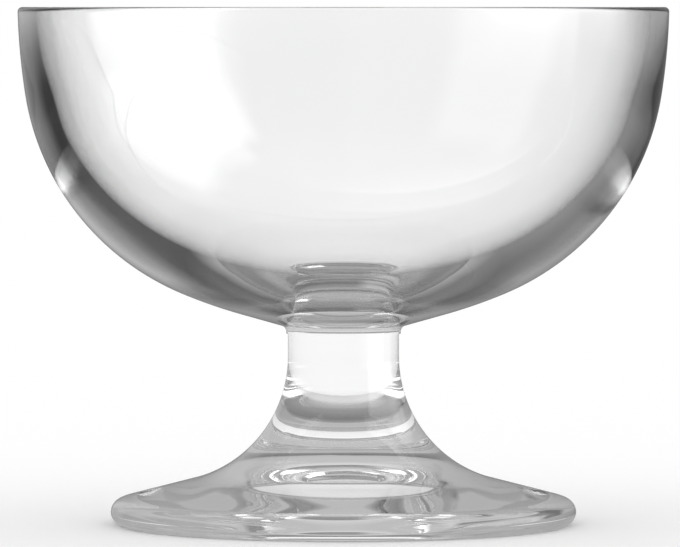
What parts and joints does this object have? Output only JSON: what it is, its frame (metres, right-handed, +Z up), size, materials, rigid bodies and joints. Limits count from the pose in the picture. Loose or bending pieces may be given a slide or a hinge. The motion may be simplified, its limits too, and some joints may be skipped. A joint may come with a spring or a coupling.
{
  "type": "dessert coupe glass",
  "caption": "Clear glass dessert coupe: wide round bowl, fused collar, short thick stem and flared round foot, domed underneath.",
  "frame": {"origin": "centre of the foot on the plane it stands on", "axes": "+Z up along the glass's axis of symmetry, from the foot to the rim; X and Y are alike, because every piece is turned"},
  "size_m": [0.11, 0.11, 0.0875],
  "materials": {
    "clear_glass": "fire-polished clear colourless soda-lime glass, smooth and glossy"
  },
  "bodies": {
    "root": {"bowl": "clear_glass", "collar": "clear_glass", "stem": "clear_glass", "foot": "clear_glass"}
  },
  "joints": []
}
